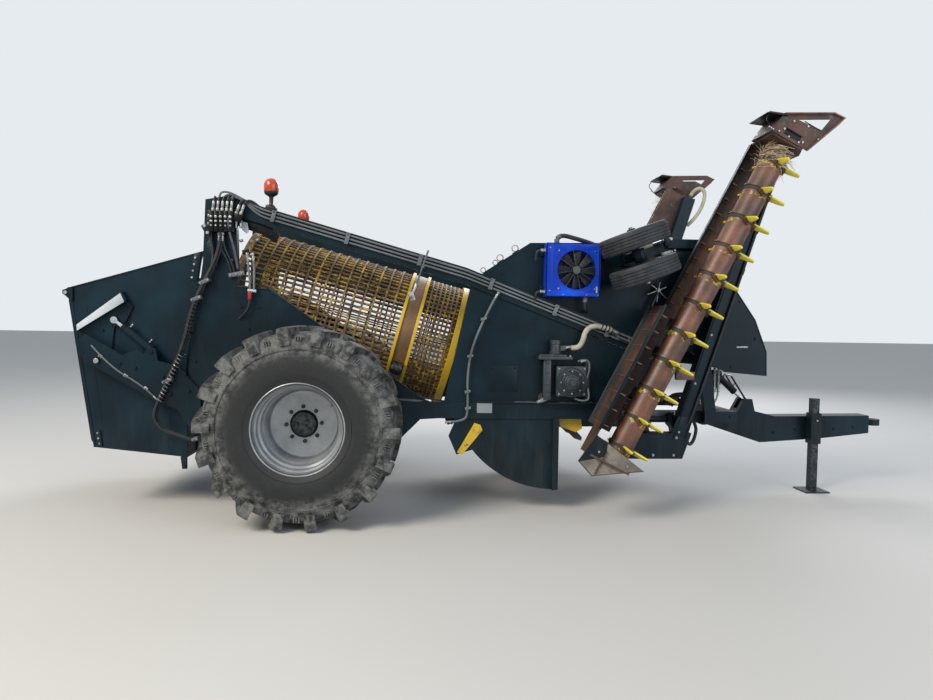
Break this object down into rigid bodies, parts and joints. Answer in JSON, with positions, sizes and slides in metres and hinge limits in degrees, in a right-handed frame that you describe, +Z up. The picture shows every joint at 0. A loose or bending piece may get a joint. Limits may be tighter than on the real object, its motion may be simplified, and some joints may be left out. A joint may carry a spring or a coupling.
{
  "type": "trailed stone picker",
  "caption": "Trailed farm machine that gathers stones with folding windrowers and a pick-up rotor, sieves them in a drum and tips them from a rear hopper.",
  "frame": {"origin": "on the ground, below the middle of the machine's length and width", "axes": "+X towards the hitch, +Y to the left, +Z up"},
  "size_m": [7.5698, 3, 3.3001],
  "materials": {
    "body_paint": "satin, dusty",
    "frame_paint": "satin, dusty",
    "drum_steel": "rusty, worn by stones",
    "reel_steel": "rusty, worn by stones",
    "yellow_paint": "worn",
    "grey_paint": "satin",
    "blue_paint": "satin",
    "tyre": "dusty rubber",
    "bright_rod": "polished",
    "lamp": "clear orange",
    "black_plastic": "moulded",
    "rubber_hose": "matt"
  },
  "bodies": {
    "chassis": {"side_frames": "body_paint", "cross_members": "frame_paint", "axle": "frame_paint", "chute": "body_paint", "top_rails": "body_paint", "body_panels": "body_paint", "hood": "body_paint", "drum_rollers": "frame_paint", "pickup_housing": "frame_paint", "front_frame": "frame_paint", "rear_brackets": "body_paint", "oil_cooler": "blue_paint", "rotor_drive": "frame_paint", "arm_rests": "body_paint", "beacons": "lamp", "valve_block": "frame_paint", "rail_pipes": "frame_paint", "drop_pipe": "grey_paint", "hose_bundle": "rubber_hose", "bracket_pipe": "grey_paint", "cheek_levers": "yellow_paint", "front_blades": "yellow_paint"},
    "wheel_left": {"tyre_left": "tyre", "rim_left": "grey_paint", "hub_left": "grey_paint"},
    "wheel_right": {"tyre_right": "tyre", "rim_right": "grey_paint", "hub_right": "grey_paint"},
    "drum": {"sieve_cage": "drum_steel", "drum_bands": "drum_steel"},
    "rotor": {"pickup_rotor": "reel_steel"},
    "fan": {"cooler_fan": "black_plastic"},
    "hopper": {"hopper": "body_paint"},
    "tailgate": {"tailgate": "body_paint"},
    "tilt_barrels": {"tilt_barrels": "body_paint"},
    "tilt_rods": {"tilt_rods": "bright_rod"},
    "drawbar": {"drawbar": "frame_paint"},
    "lift_barrel": {"lift_barrel": "frame_paint"},
    "lift_rod": {"lift_rod": "bright_rod"},
    "jack": {"jack_leg": "grey_paint"},
    "arm_left": {"windrower_arm_left": "body_paint", "reel_guard_left": "reel_steel"},
    "reel_left": {"reel_left": "reel_steel"},
    "gauge_left": {"gauge_wheels_left": "tyre"},
    "fold_barrel_left": {"fold_barrel_left": "frame_paint"},
    "fold_rod_left": {"fold_rod_left": "bright_rod"},
    "arm_right": {"windrower_arm_right": "body_paint", "reel_guard_right": "reel_steel"},
    "reel_right": {"reel_right": "reel_steel"},
    "gauge_right": {"gauge_wheels_right": "tyre"},
    "fold_barrel_right": {"fold_barrel_right": "frame_paint"},
    "fold_rod_right": {"fold_rod_right": "bright_rod"}
  },
  "joints": [
    {"name": "wheel_left_turn", "type": "hinge", "parent": "chassis", "child": "wheel_left", "pos_m": [-1.775, 1.2065, 0.78], "axis": [0, 1, 0], "continuous": true},
    {"name": "wheel_right_turn", "type": "hinge", "parent": "chassis", "child": "wheel_right", "pos_m": [-1.775, -1.2065, 0.78], "axis": [0, 1, 0], "continuous": true},
    {"name": "drum_turn", "type": "hinge", "parent": "chassis", "child": "drum", "pos_m": [-2.499, 0, 1.887], "axis": [0.9664, 0, -0.2571], "continuous": true},
    {"name": "rotor_turn", "type": "hinge", "parent": "chassis", "child": "rotor", "pos_m": [0.185, 0, 0.97], "axis": [0, 1, 0], "continuous": true},
    {"name": "fan_turn", "type": "hinge", "parent": "chassis", "child": "fan", "pos_m": [0.44, -0.9, 2.058], "axis": [0, 1, 0], "continuous": true},
    {"name": "arm_left_fold", "type": "hinge", "parent": "chassis", "child": "arm_left", "pos_m": [1.15, 0.76, 0.78], "axis": [-1, 0, 0], "range_deg": [0, 90]},
    {"name": "reel_left_turn", "type": "hinge", "parent": "arm_left", "child": "reel_left", "pos_m": [0.703, 1.21, 0.489], "axis": [0.4555, 0, 0.8902], "continuous": true},
    {"name": "gauge_left_turn", "type": "hinge", "parent": "arm_left", "child": "gauge_left", "pos_m": [0.889, 1.19, 2.165], "axis": [-0.3502, 0, 0.9367], "continuous": true},
    {"name": "fold_barrel_left_swing", "type": "hinge", "parent": "chassis", "child": "fold_barrel_left", "pos_m": [1.121, 0.31, 1.08], "axis": [-1, 0, 0], "range_deg": [-1, 27]},
    {"name": "fold_rod_left_slide", "type": "slide", "parent": "fold_barrel_left", "child": "fold_rod_left", "axis": [0, 1, 0], "range_m": [-0.001, 0.332]},
    {"name": "arm_right_fold", "type": "hinge", "parent": "chassis", "child": "arm_right", "pos_m": [1.15, -0.76, 0.78], "axis": [1, 0, 0], "range_deg": [0, 90]},
    {"name": "reel_right_turn", "type": "hinge", "parent": "arm_right", "child": "reel_right", "pos_m": [0.703, -1.21, 0.489], "axis": [0.4555, 0, 0.8902], "continuous": true},
    {"name": "gauge_right_turn", "type": "hinge", "parent": "arm_right", "child": "gauge_right", "pos_m": [0.889, -1.19, 2.165], "axis": [-0.3502, 0, 0.9367], "continuous": true},
    {"name": "fold_barrel_right_swing", "type": "hinge", "parent": "chassis", "child": "fold_barrel_right", "pos_m": [1.121, -0.31, 1.08], "axis": [1, 0, 0], "range_deg": [-1, 27]},
    {"name": "fold_rod_right_slide", "type": "slide", "parent": "fold_barrel_right", "child": "fold_rod_right", "axis": [0, -1, 0], "range_m": [-0.001, 0.332]},
    {"name": "hopper_tip", "type": "hinge", "parent": "chassis", "child": "hopper", "pos_m": [-3.475, 0, 1.245], "axis": [0, -1, 0], "range_deg": [0, 42]},
    {"name": "tailgate_swing", "type": "hinge", "parent": "hopper", "child": "tailgate", "pos_m": [-3.76, 0, 1.795], "axis": [0, 1, 0], "range_deg": [0, 60]},
    {"name": "tilt_barrels_swing", "type": "hinge", "parent": "chassis", "child": "tilt_barrels", "pos_m": [-3.047, 0, 1.319], "axis": [0, -1, 0], "range_deg": [-1, 17]},
    {"name": "tilt_rods_slide", "type": "slide", "parent": "tilt_barrels", "child": "tilt_rods", "axis": [-0.7758, 0, 0.631], "range_m": [-0.001, 0.214]},
    {"name": "drawbar_tilt", "type": "hinge", "parent": "chassis", "child": "drawbar", "pos_m": [1.915, 0, 0.69], "axis": [0, -1, 0], "range_deg": [-12, 12]},
    {"name": "lift_barrel_swing", "type": "hinge", "parent": "chassis", "child": "lift_barrel", "pos_m": [2.075, 0, 1.13], "axis": [0, -1, 0], "range_deg": [-8, 8]},
    {"name": "lift_rod_slide", "type": "slide", "parent": "lift_barrel", "child": "lift_rod", "axis": [0.7433, 0, -0.669], "range_m": [-0.095, 0.095]},
    {"name": "jack_slide", "type": "slide", "parent": "drawbar", "child": "jack", "axis": [0, 0, 1], "range_m": [0, 0.35]}
  ],
  "couplings": [
    {"joint": "fold_barrel_left_swing", "follows": "arm_left_fold", "ratio": 0.27797},
    {"joint": "fold_rod_left_slide", "follows": "arm_left_fold", "m_per_rad": 0.20859},
    {"joint": "fold_barrel_right_swing", "follows": "arm_right_fold", "ratio": 0.27797},
    {"joint": "fold_rod_right_slide", "follows": "arm_right_fold", "m_per_rad": 0.20859},
    {"joint": "tilt_barrels_swing", "follows": "hopper_tip", "ratio": 0.37049},
    {"joint": "tilt_rods_slide", "follows": "hopper_tip", "m_per_rad": 0.28707},
    {"joint": "lift_barrel_swing", "follows": "drawbar_tilt", "ratio": 0.56915},
    {"joint": "lift_rod_slide", "follows": "drawbar_tilt", "m_per_rad": -0.43325}
  ]
}
